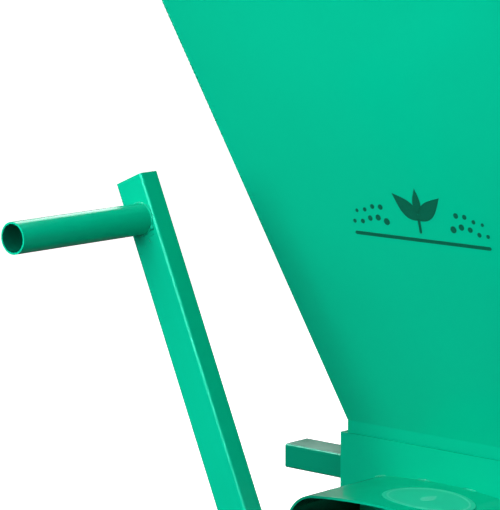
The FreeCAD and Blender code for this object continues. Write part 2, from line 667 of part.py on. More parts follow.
# ---- wheels -------------------------------------------------------------------------------------------------------------------
def wheel_point(r, x):
    return V(x, WHEEL_Y, WHEEL_R + r)


def turned(wire):
    return Part.Face(wire).revolve(V(0, WHEEL_Y, WHEEL_R), V(1, 0, 0), 360)


def tyre(x_mid):
    """Solid rubber tyre with a rounded tread and a flat seat on the rim."""
    half = WHEEL_W / 2
    seat_half = half - TYRE_TAPER
    edge_r = WHEEL_R - TYRE_CROWN
    seat = [wheel_point(SEAT_R, x_mid - seat_half), wheel_point(SEAT_R, x_mid + seat_half)]
    tread = [wheel_point(edge_r, x_mid + half), wheel_point(WHEEL_R, x_mid),
             wheel_point(edge_r, x_mid - half)]
    edges = [Part.makeLine(seat[0], seat[1]), Part.makeLine(seat[1], tread[0]),
             Part.Arc(*tread).toShape(), Part.makeLine(tread[2], seat[0])]
    return turned(Part.Wire(edges))


def rim(x_mid):
    """Dished steel disc with a rolled edge under the tyre."""
    half = WHEEL_W / 2 - TYRE_TAPER
    inner = x_mid - RIM_T
    outer = x_mid + RIM_DISH
    band_r = SEAT_R - RIM_T
    profile = [(WHEEL_HUB_R, inner), (WHEEL_HUB_R + RIM_RING + RIM_T / 3, inner),
               (band_r - RIM_RING, outer - RIM_T), (band_r, outer - RIM_T),
               (band_r, x_mid - half), (SEAT_R, x_mid - half),
               (SEAT_R, x_mid + half), (band_r, x_mid + half),
               (band_r, outer), (band_r - RIM_RING - RIM_T / 3, outer),
               (WHEEL_HUB_R + RIM_RING, x_mid), (WHEEL_HUB_R, x_mid)]
    return turned(loop([wheel_point(r, x) for r, x in profile]))


def build_wheels():
    washers = []
    for name, side in SIDES:
        mid = side * (WHEEL_INNER_X + WHEEL_W / 2)
        hub_x = (mid - WHEEL_HUB_HALF, mid + WHEEL_HUB_HALF)
        add(name + "_tyre", tyre(mid))
        add(name + "_rim", rim(mid))
        add(name + "_wheel_hub", ring_x(WHEEL_HUB_R, WHEEL_BUSH_R, WHEEL_Y, WHEEL_R, *hub_x))
        add(name + "_hub_bush", ring_x(WHEEL_BUSH_R, AXLE_R + RUNNING_FIT, WHEEL_Y, WHEEL_R, *hub_x))
        for x0 in (hub_x[0] - MOVING_GAP - WASHER_T, hub_x[1] + MOVING_GAP):
            washers.append(ring_x(AXLE_R + WASHER_W, AXLE_R, WHEEL_Y, WHEEL_R, x0, x0 + WASHER_T))
    add("axle_washers", *washers)


def build_cotters():
    """Pin through the axle's top outside each outer washer, with a looped head."""
    out = WHEEL_INNER_X + WHEEL_W + WHEEL_HUB_PROUD + MOVING_GAP + WASHER_T + COTTER_GAP + COTTER_HEAD_R
    top_z = WHEEL_R + AXLE_R
    pins = []
    for x in (-out, out):
        pin = rod_z(COTTER_R, x, WHEEL_Y, top_z, top_z + COTTER_STAND)
        pin = pin.fuse(Part.makeSphere(COTTER_HEAD_R, V(x, WHEEL_Y, top_z + COTTER_STAND)))
        pins.append(pin.removeSplitter().cut(PARTS["axle"]))
    add("axle_cotters", *pins)


# ---- push handle -----------------------------------------------------------------------------------------------------------
def build_handle():
    post_end = HANDLE_POST_X + HANDLE_POST_R
    crossbar_space = rod_x(HANDLE_R, HANDLE_Y, HANDLE_TOP_Z, -FAR, FAR)
    for name, side in SIDES:
        x = side * HANDLE_POST_X
        low = V(x, RAIL_REAR - HANDLE_LAP, RAIL_MIDDLE - HANDLE_FOOT_DROP)
        post = round_tube(low, V(x, HANDLE_Y, HANDLE_TOP_Z), HANDLE_POST_R, TUBE_WALL)
        add(name + "_handle_tube", largest(post.cut(crossbar_space)))
    add("handle_crossbar", round_tube(V(-post_end, HANDLE_Y, HANDLE_TOP_Z),
                                      V(post_end, HANDLE_Y, HANDLE_TOP_Z), HANDLE_R, TUBE_WALL))
    add("handle_sleeve", ring_x(HANDLE_R + SLEEVE_T, HANDLE_R, HANDLE_Y, HANDLE_TOP_Z,
                                -SLEEVE_LENGTH / 2, SLEEVE_LENGTH / 2))


# ---- export -------------------------------------------------------------------------------------------------------------------
def export():
    os.makedirs("parts", exist_ok=True)
    for name, shape in PARTS.items():
        placed = shape.copy()
        placed.translate(V(0, -CENTRE_Y, 0))
        placed.exportStep("parts/" + name + ".step")
        count = len(placed.Solids)
        print("%-24s solids %2d volume %10.0f valid %s" % (name, count, placed.Volume, placed.isValid()))


build_hopper()
build_seal()
build_front_and_rear_wall()
build_side_walls()
build_trough()
build_hood()
build_chute()
build_gate()
build_guides()
build_shaft()
build_rotor()
build_bearings()
build_crank()
build_rails()
build_front_legs()
build_rear_legs()
build_wheels()
build_cotters()
build_handle()
export()
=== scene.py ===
"""Looks for the hand-cranked garden spreader: paint, welds, labels, tyres, light and camera.

Metres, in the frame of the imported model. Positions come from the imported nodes' boxes.
"""
import json
import math
import random

import bmesh
import bpy
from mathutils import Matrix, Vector


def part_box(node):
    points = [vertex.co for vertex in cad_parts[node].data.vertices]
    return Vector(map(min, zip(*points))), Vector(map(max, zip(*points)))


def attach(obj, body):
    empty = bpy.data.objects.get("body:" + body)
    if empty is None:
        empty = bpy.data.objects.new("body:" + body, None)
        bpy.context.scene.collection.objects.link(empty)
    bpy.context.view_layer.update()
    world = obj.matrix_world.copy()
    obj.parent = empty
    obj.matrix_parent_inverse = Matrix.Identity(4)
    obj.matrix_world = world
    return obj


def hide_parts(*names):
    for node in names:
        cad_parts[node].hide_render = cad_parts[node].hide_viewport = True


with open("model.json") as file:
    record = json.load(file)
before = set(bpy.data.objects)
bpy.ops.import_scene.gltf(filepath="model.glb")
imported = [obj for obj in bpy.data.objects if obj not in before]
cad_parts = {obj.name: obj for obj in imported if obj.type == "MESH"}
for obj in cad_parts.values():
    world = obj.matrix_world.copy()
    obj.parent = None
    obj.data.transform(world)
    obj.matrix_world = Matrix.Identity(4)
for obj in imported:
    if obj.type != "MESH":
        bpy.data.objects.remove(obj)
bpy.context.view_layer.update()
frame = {"nodes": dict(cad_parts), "record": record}
NODES = frame["nodes"]
MM = 0.001
TURN = 2 * math.pi
X, Y, Z = Vector((1, 0, 0)), Vector((0, 1, 0)), Vector((0, 0, 1))


# ---- sizes of the CAD model that its boxes don't show ---------------------------------------
HOPPER_CREASE = 10 * MM          # crease above the body's top edge
HOPPER_INSET = 4.3 * MM          # skirt inside the body's outer face
HOPPER_SHEET = 1.5 * MM
HOPPER_LIP = 15 * MM
HOOD_CROWN_R = 530 * MM
HOOD_SHOULDER_R = 32 * MM
ARM_HALF = 15 * MM
LEG_SIDE = 20 * MM

# ---- places read from the frame -------------------------------------------------------------
WALL_LO, WALL_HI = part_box("body_front_wall")
HOOD_LO, HOOD_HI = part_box("arched_hood")
REAR_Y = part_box("body_rear_wall")[1][1]
ARM_LO, ARM_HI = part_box("crank_arm")
GRIP_LO, GRIP_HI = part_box("crank_grip")
HUB_LO, HUB_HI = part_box("crank_hub")
SHAFT = Vector((0, 0, (HUB_LO[2] + HUB_HI[2]) / 2))
GRIP_X, GRIP_Z = (GRIP_LO[0] + GRIP_HI[0]) / 2, (GRIP_LO[2] + GRIP_HI[2]) / 2
GRIP_R = (GRIP_HI[0] - GRIP_LO[0]) / 2
GRIP_FOOT = Vector((GRIP_X, GRIP_HI[1], GRIP_Z))
BODY_HALF = WALL_HI[0]
WALL_Y = WALL_LO[1]
BODY_TOP = WALL_HI[2]
CREASE_Z = BODY_TOP + HOPPER_CREASE
SKIRT_HALF_X = BODY_HALF - HOPPER_INSET
SKIRT_HALF_Y = (REAR_Y - WALL_Y) / 2 - HOPPER_INSET


def middle(lo, hi):
    return Vector([(a + b) / 2 for a, b in zip(lo, hi)])


# ---- material helpers -----------------------------------------------------------------------
class Graph:
    """Small helper round one material's node tree."""

    def __init__(self, name):
        self.material = bpy.data.materials.new(name)
        self.material.use_nodes = True
        self.tree = self.material.node_tree
        self.shader = self.tree.nodes["Principled BSDF"]
        self.coord_node = self.node("ShaderNodeTexCoord")
        self.coords = self.coord_node.outputs["Object"]

    def node(self, kind, **values):
        made = self.tree.nodes.new(kind)
        for key, value in values.items():
            setattr(made, key, value)
        return made

    def link(self, source, target):
        self.tree.links.new(source, target)

    def feed(self, socket, source):
        """Link an output to one of the shader's own sockets."""
        self.link(source, self.shader.inputs[socket])

    def set(self, **values):
        """Constants on the shader's own sockets."""
        for key, value in values.items():
            self.shader.inputs[key.replace("_", " ")].default_value = value

    def stretched(self, scale):
        """Object coordinates scaled by axis, for grain that runs one way."""
        mapping = self.node("ShaderNodeMapping")
        mapping.inputs["Scale"].default_value = scale
        self.link(self.coords, mapping.inputs["Vector"])
        return mapping.outputs["Vector"]

    def noise(self, scale, detail, roughness=0.55, vector=None):
        noise = self.node("ShaderNodeTexNoise")
        noise.inputs["Scale"].default_value = scale
        noise.inputs["Detail"].default_value = detail
        noise.inputs["Roughness"].default_value = roughness
        self.link(vector or self.coords, noise.inputs["Vector"])
        return noise.outputs["Fac"]

    def cells(self, scale):
        """A random colour for each cell."""
        voronoi = self.node("ShaderNodeTexVoronoi", feature="F1")
        voronoi.inputs["Scale"].default_value = scale
        self.link(self.coords, voronoi.inputs["Vector"])
        return voronoi.outputs["Color"]

    def ramp(self, value, stops):
        ramp = self.node("ShaderNodeValToRGB")
        set_stops(ramp, stops)
        self.link(value, ramp.inputs["Fac"])
        return ramp.outputs["Color"]

    def range(self, value, low, high, from_low=0.3, from_high=0.7):
        node = self.node("ShaderNodeMapRange")
        node.inputs["From Min"].default_value = from_low
        node.inputs["From Max"].default_value = from_high
        node.inputs["To Min"].default_value = low
        node.inputs["To Max"].default_value = high
        self.link(value, node.inputs["Value"])
        return node.outputs["Result"]

    def mix(self, factor, first, second):
        """Colour mix; the second may be a plain colour."""
        node = self.node("ShaderNodeMix", data_type="RGBA")
        self.link(factor, node.inputs["Factor"])
        self.link(first, node.inputs["A"])
        if isinstance(second, tuple):
            node.inputs["B"].default_value = (*second, 1)
        else:
            self.link(second, node.inputs["B"])
        return node.outputs["Result"]

    def bump(self, height, distance, strength=1.0, below=None):
        node = self.node("ShaderNodeBump")
        node.inputs["Strength"].default_value = strength
        node.inputs["Distance"].default_value = distance
        self.link(height, node.inputs["Height"])
        if below is not None:
            self.link(below, node.inputs["Normal"])
        return node.outputs["Normal"]


def set_stops(ramp, stops):
    """Fill a colour ramp node with (place, colour) pairs."""
    elements = ramp.color_ramp.elements
    while len(elements) < len(stops):
        elements.new(0.5)
    for element, (place, colour) in zip(elements, stops):
        element.position = place
        element.color = (*colour, 1)


def inward_mask(g, axis_x, axis_z):
    """1 on faces that look towards an axis along Y, 0 elsewhere: where the painted shade goes
    inside the hood and the grip tube.
    """
    full, none = -0.006, -0.002      # distance to the axis times how far the face looks away
    offset = g.node("ShaderNodeVectorMath", operation="SUBTRACT")
    g.link(g.coords, offset.inputs[0])
    offset.inputs[1].default_value = (axis_x, 0, axis_z)
    flat = g.node("ShaderNodeVectorMath", operation="MULTIPLY")
    g.link(offset.outputs["Vector"], flat.inputs[0])
    flat.inputs[1].default_value = (1, 0, 1)
    facing = g.node("ShaderNodeVectorMath", operation="DOT_PRODUCT")
    g.link(flat.outputs["Vector"], facing.inputs[0])
    g.link(g.coord_node.outputs["Normal"], facing.inputs[1])
    return g.range(facing.outputs["Value"], 1.0, 0.0, full, none)


PAINT_SHINE = (0.12, 0.85, 0.65, 1)      # reflections in the enamel stay green


def paint(name, deep, mid, bright, gloss=0.17, peel=0.5, shaded_inside=None):
    """Stoved enamel on sheet steel: faint colour drift, orange peel and slightly wavy sheet.

    With the place of an axis along Y and two dark colours given, the inner side is coloured with
    painted shade: a dark colour that stands in for the shade inside the hollow.
    """
    g = Graph(name)
    drift = g.noise(5.0, 3.0)
    fine = g.noise(420.0, 2.0)
    base = g.ramp(drift, [(0.25, deep), (0.5, mid), (0.78, bright)])
    speck = g.ramp(fine, [(0.30, tuple(c * 0.90 for c in mid)), (0.55, mid)])
    colour = g.mix(g.range(fine, 0.0, 0.15), base, speck)
    if shaded_inside:
        axis_x, axis_z, dark, pale = shaded_inside
        # Painted shade: the dark colour on inner faces stands in for the shade inside the hollow.
        inside_shade = g.ramp(g.noise(60.0, 5.0), [(0.3, dark), (0.7, pale)])
        colour = g.mix(inward_mask(g, axis_x, axis_z), colour, inside_shade)
    g.feed("Base Color", colour)
    g.feed("Roughness", g.range(g.noise(38.0, 5.0), gloss - 0.04, gloss + 0.09))
    wavy = g.bump(g.noise(9.0, 2.0), 0.0006 * peel)
    g.feed("Normal", g.bump(g.noise(620.0, 2.0), 0.00003 * peel, 0.35, wavy))
    g.set(IOR=1.5, Specular_Tint=PAINT_SHINE)
    return g.material


def metal(name, dark, light, rough, grain=(1.0, 1.0, 1.0), scale=160.0, relief=0.00003):
    """Bare machined or worn metal with streaks and a few darker stains."""
    g = Graph(name)
    streak = g.noise(scale, 6.0, 0.65, g.stretched(grain))
    blotch = g.noise(24.0, 4.0)
    colour = g.ramp(streak, [(0.3, dark), (0.7, light)])
    stain = tuple(c * 0.6 for c in dark)
    g.feed("Base Color", g.mix(g.range(blotch, 0.0, 0.45, 0.45, 0.75), colour, stain))
    g.feed("Roughness", g.range(streak, rough - 0.08, rough + 0.14))
    g.feed("Normal", g.bump(streak, relief))
    g.set(Metallic=1.0)
    return g.material


def zinc(name):
    """Galvanised steel with its faint crystal spangle."""
    g = Graph(name)
    tone = g.ramp(g.cells(130.0), [(0.2, (0.50, 0.52, 0.54)), (0.8, (0.70, 0.71, 0.72))])
    cloud = g.noise(30.0, 5.0)
    g.feed("Base Color", g.mix(g.range(cloud, 0.0, 0.5), tone, (0.55, 0.55, 0.53)))
    g.feed("Roughness", g.range(cloud, 0.24, 0.46))
    g.feed("Normal", g.bump(g.noise(300.0, 4.0), 0.00003))
    g.set(Metallic=1.0)
    return g.material


def iron(name):
    """Black painted casting with a coarse skin."""
    g = Graph(name)
    coarse = g.noise(240.0, 6.0, 0.7)
    g.feed("Base Color", g.ramp(coarse, [(0.3, (0.018, 0.019, 0.021)),
                                         (0.75, (0.05, 0.05, 0.052))]))
    g.feed("Roughness", g.range(coarse, 0.42, 0.62))
    g.feed("Normal", g.bump(coarse, 0.0004))
    g.set(Coat_Weight=0.2, Coat_Roughness=0.3)
    return g.material


def rubber(name, dust):
    """Black rubber with a fine grain; dust is how far its cloudy film shows."""
    g = Graph(name)
    grain = g.noise(700.0, 4.0)
    cloud = g.noise(16.0, 5.0)
    base = g.ramp(grain, [(0.3, (0.012, 0.012, 0.013)), (0.7, (0.026, 0.026, 0.027))])
    film = g.range(cloud, 0.0, dust, 0.45, 0.75)
    g.feed("Base Color", g.mix(film, base, (0.13, 0.12, 0.105)))
    g.feed("Roughness", g.range(cloud, 0.52, 0.74))
    g.feed("Normal", g.bump(grain, 0.00012))
    return g.material


def ink(name, dark, light, rough=0.34, relief=0.000008, swing=0.13):
    """Screen-printed ink or film on the paint, as uneven as relief and swing say."""
    g = Graph(name)
    weave = g.noise(900.0, 2.0)
    g.feed("Base Color", g.ramp(weave, [(0.35, dark), (0.65, light)]))
    g.feed("Roughness", g.range(weave, rough - 0.4 * swing, rough + 0.6 * swing))
    g.feed("Normal", g.bump(weave, relief))
    g.set(Specular_Tint=PAINT_SHINE)
    return g.material


ENAMEL = ((0.0, 0.485, 0.280), (0.0, 0.505, 0.293), (0.0, 0.525, 0.307))
# Painted shade for insides that little light reaches: near-black in the hood, dark green in the
# grip tube.
BLACK_PAINTED_SHADE = ((0.001, 0.006, 0.004), (0.003, 0.012, 0.008))
GREEN_PAINTED_SHADE = ((0.0, 0.12, 0.07), (0.0, 0.16, 0.095))

GREEN = paint("green_enamel", *ENAMEL)
# The hood and the grip tube carry painted shade on their inner faces.
HOOD_GREEN = paint("green_enamel_hood_painted_shade_inside", *ENAMEL, shaded_inside=(0.0, SHAFT.z, *BLACK_PAINTED_SHADE))
GRIP_GREEN = paint("green_enamel_grip_painted_shade_inside", *ENAMEL, shaded_inside=(GRIP_X, GRIP_Z, *GREEN_PAINTED_SHADE))
# Darker copy of the enamel: painted shade for the pull bar, which stands in shade under the hopper
# beside the body.
BAR_GREEN_PAINTED_SHADE = paint("green_enamel_pull_bar_painted_shade", (0.0, 0.27, 0.155), (0.0, 0.285, 0.165),
                  (0.0, 0.30, 0.175), peel=0.2)
WELD_GREEN = paint("green_enamel_on_weld", (0.0, 0.40, 0.23), (0.0, 0.46, 0.265),
                   (0.0, 0.50, 0.29), gloss=0.26, peel=1.5)
RIM_PAINT = paint("rim_enamel", (0.60, 0.61, 0.60), (0.66, 0.67, 0.66),
                  (0.70, 0.71, 0.70), gloss=0.3)
ZINC = zinc("zinc_plate")
STEEL = metal("turned_steel", (0.30, 0.30, 0.31), (0.52, 0.52, 0.53), 0.34, (1, 12, 1))
BLADE = metal("blade_steel", (0.24, 0.23, 0.23), (0.46, 0.46, 0.47), 0.42,
              scale=90.0, relief=0.00012)
BRONZE = metal("bush_bronze", (0.48, 0.29, 0.12), (0.72, 0.48, 0.22), 0.32)
IRON = iron("cast_iron_black")
RUBBER = rubber("seal_rubber", 0.15)
TYRE = rubber("tyre_rubber", 0.45)
EMBLEM_INK = ink("emblem_ink", (0.002, 0.105, 0.06), (0.002, 0.125, 0.072))
LABEL_FILM = ink("label_film", (0.026, 0.615, 0.395), (0.028, 0.63, 0.405),
                 rough=0.28, relief=0.0000006, swing=0.01)
LABEL_PALE = ink("label_pale_ink", (0.10, 0.68, 0.48), (0.14, 0.74, 0.54),
                 rough=0.3, relief=0.000001, swing=0.02)

BY_SLOT = {"green_paint": GREEN, "zinc_steel": ZINC, "bare_steel": BLADE, "cast_iron": IRON,
           "bronze": BRONZE, "rubber": RUBBER, "tyre_rubber": TYRE, "rim_paint": RIM_PAINT}
BY_NODE = {"rotor_shaft": STEEL, "axle": STEEL, "shaft_collar": STEEL, "arched_hood": HOOD_GREEN,
           "crank_grip": GRIP_GREEN, "gate_pull_bar": BAR_GREEN_PAINTED_SHADE}

# Replaced by a modelled piece, or soft: these keep their edges.
PLAIN_EDGED = ("left_tyre", "right_tyre", "left_rim", "right_rim", "handle_sleeve", "hopper_seal")


def paint_cad_nodes():
    for part in frame["record"]["subparts"]:
        node = NODES[part["node"]]
        material = BY_NODE.get(part["node"], BY_SLOT[part["material_slot"]])
        node.data.materials.clear()
        node.data.materials.append(material)


def soften_edges():
    """Rolled and ground edges catch the light."""
    for part in frame["record"]["subparts"]:
        if part["node"] in PLAIN_EDGED:
            continue
        edge = NODES[part["node"]].modifiers.new("edge", "BEVEL")
        edge.width = 0.5 * MM
        edge.segments = 2
        edge.limit_method = "ANGLE"
        edge.angle_limit = math.radians(50)
        edge.use_clamp_overlap = True
        edge.harden_normals = True


# ---- mesh helpers ---------------------------------------------------------------------------
FLAT_SHADE, TYRE_SHADE, ROUND_SHADE, WELD_SHADE = 30, 32, 40, 60   # degrees that stay smooth


def smooth(piece, degrees):
    """Smooth curved faces, and keep real edges sharp."""
    mesh = piece.data
    mesh.polygons.foreach_set("use_smooth", [True] * len(mesh.polygons))
    mesh.set_sharp_from_angle(angle=math.radians(degrees))


def new_piece(name, vertices, faces, material, body, shade):
    """Mesh object with its normals outward, riding a body."""
    mesh = bpy.data.meshes.new(name)
    mesh.from_pydata([tuple(v) for v in vertices], [], faces)
    mesh.validate()
    mesh.update()
    piece = bpy.data.objects.new(name, mesh)
    bpy.context.scene.collection.objects.link(piece)
    mesh.materials.append(material)
    fix = bmesh.new()
    fix.from_mesh(mesh)
    bmesh.ops.recalc_face_normals(fix, faces=fix.faces)
    fix.to_mesh(mesh)
    fix.free()
    smooth(piece, shade)
    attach(piece, body)
    return piece


def join(parts):
    """One list of vertices and one of faces from several such pairs."""
    vertices, faces = [], []
    for some_vertices, some_faces in parts:
        start = len(vertices)
        vertices += some_vertices
        faces += [tuple(start + i for i in face) for face in some_faces]
    return vertices, faces


def ellipse(u, v, long_r, short_r, count):
    """Flat outline as (u, v) pairs."""
    return [(u + long_r * math.cos(TURN * i / count), v + short_r * math.sin(TURN * i / count))
            for i in range(count)]


def circle(centre, u, v, radius, count):
    """Points in space round a centre, in the plane of u and v."""
    return [centre + u * (radius * math.cos(TURN * i / count))
            + v * (radius * math.sin(TURN * i / count)) for i in range(count)]


def evenly(start, end, step=0.0009):
    count = max(3, int((end - start).length / step))
    return [start.lerp(end, i / count) for i in range(count + 1)]


def polyline(corners, closed=True, step=0.0009):
    """Close points along straight runs between corners."""
    followers = corners[1:] + corners[:1] if closed else corners[1:]
    points = []
    for start, end in zip(corners, followers):
        points += evenly(start, end, step)[:-1]
    if not closed:
        points.append(corners[-1])
    return points


def revolve(profile, centre, count, along=lambda r, x, angle: x):
    """Turn a closed profile of (radius, x) pairs about the X axis through centre.

    along gives the final x, which may change round the turn.
    """
    n = len(profile)
    vertices = []
    for i in range(count):
        angle = TURN * i / count
        for r, x in profile:
            vertices.append(Vector((centre.x + along(r, x, angle), centre.y + r * math.cos(angle),
                                    centre.z + r * math.sin(angle))))
    faces = []
    for i in range(count):
        a, b = i * n, ((i + 1) % count) * n
        faces += [(a + k, a + (k + 1) % n, b + (k + 1) % n, b + k) for k in range(n)]
    return vertices, faces


def slab(name, outlines, place, thickness, material):
    """Closed thin plates on the stand: place(u, v, height) sets each outline on a surface."""
    vertices, faces = [], []
    for outline in outlines:
        n, start = len(outline), len(vertices)
        for height in (0.0, thickness):
            vertices += [place(u, v, height) for u, v in outline]
        faces.append(tuple(start + n + i for i in range(n)))
        faces.append(tuple(start + i for i in reversed(range(n))))
        faces += [(start + i, start + (i + 1) % n, start + n + (i + 1) % n, start + n + i)
                  for i in range(n)]
    return new_piece(name, vertices, faces, material, "stand", FLAT_SHADE)


# ---- surfaces of the CAD model --------------------------------------------------------------
def panel_plane():
    """Outermost corner, right and up directions, and normal of the hopper's front face."""
    mesh = NODES["hopper_front_panel"].data
    flared = [p for p in mesh.polygons if p.normal.y < -0.9 and p.normal.z < -0.1]
    normal = max(flared, key=lambda p: p.area).normal.copy()
    right = X.copy()
    up = normal.cross(right) * -1
    if up.z < 0:
        up.negate()
    corners = [mesh.vertices[i].co for p in flared for i in p.vertices]
    outermost = max(corners, key=lambda c: c.dot(normal))
    return outermost.copy(), right, up, normal


def hood_top(x):
    """Height of the hood's outer skin, whose top is a wide arc."""
    return HOOD_HI[2] - HOOD_CROWN_R + math.sqrt(HOOD_CROWN_R * HOOD_CROWN_R - x * x)


def hood_profile():
    """Points round the hood's outer skin, from the left foot over the top to the right foot."""
    shoulder_steps, top_steps = 12, 8
    half = HOOD_HI[0]
    centre_x = half - HOOD_SHOULDER_R
    crown_z = HOOD_HI[2] - HOOD_CROWN_R
    centre_z = crown_z + math.sqrt((HOOD_CROWN_R - HOOD_SHOULDER_R) ** 2 - centre_x ** 2)
    lean = math.atan2(centre_x, centre_z - crown_z)
    points = [Vector((-half, 0, z)) for z in (HOOD_LO[2] + 2 * MM, (HOOD_LO[2] + centre_z) / 2)]
    for i in range(shoulder_steps + 1):
        angle = math.pi / 2 + (lean - math.pi / 2) * i / shoulder_steps
        points.append(Vector((-centre_x - HOOD_SHOULDER_R * math.sin(angle), 0,
                              centre_z + HOOD_SHOULDER_R * math.cos(angle))))
    for i in range(1, top_steps):
        x = -(centre_x + HOOD_SHOULDER_R * math.sin(lean)) * (1 - i / top_steps)
        points.append(Vector((x, 0, hood_top(x))))
    mirrored = [Vector((-p.x, 0, p.z)) for p in reversed(points)]
    return points + [Vector((0, 0, hood_top(0)))] + mirrored


def extreme(node, z, side):
    """Outermost x of a node's corners at a height, on one side."""
    level = [v.co.x for v in NODES[node].data.vertices if abs(v.co.z - z) < 0.5 * MM]
    return max(level) if side > 0 else min(level)


# ---- printed emblem and label ---------------------------------------------------------------
EMBLEM_RISE = 202 * MM           # emblem's middle above the body's top edge
EMBLEM_X = 11.5 * MM
EMBLEM_SCALE = 0.9
EMBLEM_SINK = 0.08 * MM          # underside below the paint, so that no gap shows
EMBLEM_FILM = 0.2 * MM

LABEL_X = 25.5 * MM
LABEL_AHEAD = 47.5 * MM          # label's middle ahead of the front wall
LABEL_LONG_R, LABEL_SHORT_R = 42 * MM, 31 * MM
LABEL_SINK = 0.06 * MM
LABEL_FILM_T, LABEL_PRINT_T = 0.22 * MM, 0.30 * MM


def leaf(foot, tip, width, count=14):
    """Pointed leaf between two points, fuller near its foot."""
    (x0, y0), (x1, y1) = foot, tip
    length = math.hypot(x1 - x0, y1 - y0)
    ax, ay = (x1 - x0) / length, (y1 - y0) / length
    outline = []
    for side in (1, -1):
        steps = range(count + 1) if side > 0 else range(count - 1, 0, -1)
        for i in steps:
            t = i / count
            swell = side * width * math.sin(math.pi * t ** 0.8) * (1 - 0.25 * t)
            outline.append((x0 + ax * length * t - ay * swell, y0 + ay * length * t + ax * swell))
    return outline


def bar(u0, u1, v0, v1, cut=1.5):
    """Rectangle with its corners cut."""
    return [(u0 + cut, v0), (u1 - cut, v0), (u1, v0 + cut), (u1, v1 - cut), (u1 - cut, v1),
            (u0 + cut, v1), (u0, v1 - cut), (u0, v0 + cut)]


def make_emblem():
    """Printed sprout over a furrow, with rows of seeds on each side; outlines in millimetres."""
    origin, right, up, normal = panel_plane()
    level = Vector((0, 0, BODY_TOP + EMBLEM_RISE)) - origin
    centre = origin + up * (level.z / up.z)
    centre.x = EMBLEM_X

    def place(u, v, height):
        return (centre + right * (u * EMBLEM_SCALE * MM) + up * (v * EMBLEM_SCALE * MM)
                + normal * (height - EMBLEM_SINK))

    def seed(u, v, r):
        return ellipse(u, v, r, r, 20)

    shapes = [leaf((0, -4), (-27, 20), 8.5), leaf((0, -4), (27, 20), 8.5),
              leaf((0, 2), (0, 27), 5.0),
              bar(-1.5, 1.5, -17, -2), bar(-78, 78, -25, -21.5)]
    for side in (-1, 1):
        for k in range(5):
            wave = 3.2 * math.sin(k * 1.3)
            shapes.append(seed(side * (38 + 9.5 * k), -9 + wave, 3.4 - 0.35 * k))
            if k < 4:
                wave = 3.2 * math.sin(k * 1.3 + 1)
                shapes.append(seed(side * (43 + 9.5 * k), 2 + wave, 2.7 - 0.3 * k))
    slab("hopper_emblem", shapes, place, EMBLEM_FILM, EMBLEM_INK)


def make_hood_label():
    """Oval film on the hood, with a plain rim line and a drop in its middle."""
    def place(u, v, height):
        x, y = LABEL_X + u, WALL_Y - LABEL_AHEAD + v
        return Vector((x, y, hood_top(x) - LABEL_SINK + height))

    def film(name, rings, thickness, material):
        """Closed ring-shaped sheet through ovals, given as shares of the label's size."""
        count = 72
        vertices, faces = [], []
        for height in (0.0, thickness):
            for scale in rings:
                oval = ellipse(0.0, 0.0, LABEL_LONG_R * scale, LABEL_SHORT_R * scale, count)
                vertices += [place(u, v, height) for u, v in oval]
        layer = len(rings) * count
        for i in range(count):
            n = (i + 1) % count
            for k in range(len(rings) - 1):
                a, b = k * count, (k + 1) * count
                faces.append((a + i, b + i, b + n, a + n))
                faces.append((layer + a + i, layer + a + n, layer + b + n, layer + b + i))
            for k in (0, len(rings) - 1):
                a = k * count
                faces.append((a + i, a + n, layer + a + n, layer + a + i))
        return new_piece(name, vertices, faces, material, "stand", FLAT_SHADE)

    film("hood_label", [0.02, 0.25, 0.5, 0.75, 1.0], LABEL_FILM_T, LABEL_FILM)
    film("hood_label_line", [0.86, 0.90], LABEL_PRINT_T, LABEL_PALE)
    drop = [(u * 0.1 * MM, v * 0.1 * MM) for u, v in leaf((0, -90), (0, 110), 62)]
    slab("hood_label_drop", [drop], place, LABEL_PRINT_T, LABEL_PALE)


# ---- welds ----------------------------------------------------------------------------------
RIPPLE = 0.16                    # how far a bead swells and shrinks along its run
RIPPLE_PITCH = 4 * MM
BEAD_SIDES = 10
END_TAPER = 0.35                 # size of an open bead's first and last ring
RING_POINTS = 72

# Bead radii.
GRIP_BEAD, ARM_BEAD, HOOD_BEAD, HOPPER_BEAD = 1.0 * MM, 1.9 * MM, 0.9 * MM, 1.2 * MM
LEG_BEAD, FOOT_BEAD, CROSSBAR_BEAD, AXLE_BEAD = 1.6 * MM, 1.7 * MM, 1.5 * MM, 1.5 * MM
SADDLE_BEAD, POST_BEAD = 1.3 * MM, 1.5 * MM


def sweep(points, radius, closed, seed):
    """Vertices and faces of a weld bead along points, with ripples along its run."""
    rng = random.Random(seed)
    count = len(points)
    vertices = []
    travelled = 0.0
    normal = None
    for i, point in enumerate(points):
        ahead = points[(i + 1) % count] if closed or i + 1 < count else point
        behind = points[i - 1] if closed or i > 0 else point
        along = (ahead - behind).normalized()
        if normal is None:
            normal = along.orthogonal().normalized()
        normal = (normal - along * normal.dot(along)).normalized()
        other = along.cross(normal)
        if i:
            travelled += (point - points[i - 1]).length
        ripple = RIPPLE * math.sin(TURN * travelled / RIPPLE_PITCH)
        swell = 1 + ripple + rng.uniform(-RIPPLE, RIPPLE) * 0.4
        if not closed and i in (0, count - 1):
            swell *= END_TAPER
        vertices += circle(point, normal, other, radius * swell, BEAD_SIDES)
    faces = []
    for i in range(count if closed else count - 1):
        a, b = i * BEAD_SIDES, ((i + 1) % count) * BEAD_SIDES
        for k in range(BEAD_SIDES):
            n = (k + 1) % BEAD_SIDES
            faces.append((a + k, a + n, b + n, b + k))
    if not closed:
        faces.append(tuple(range(BEAD_SIDES))[::-1])
        faces.append(tuple(range((count - 1) * BEAD_SIDES, count * BEAD_SIDES)))
    return vertices, faces


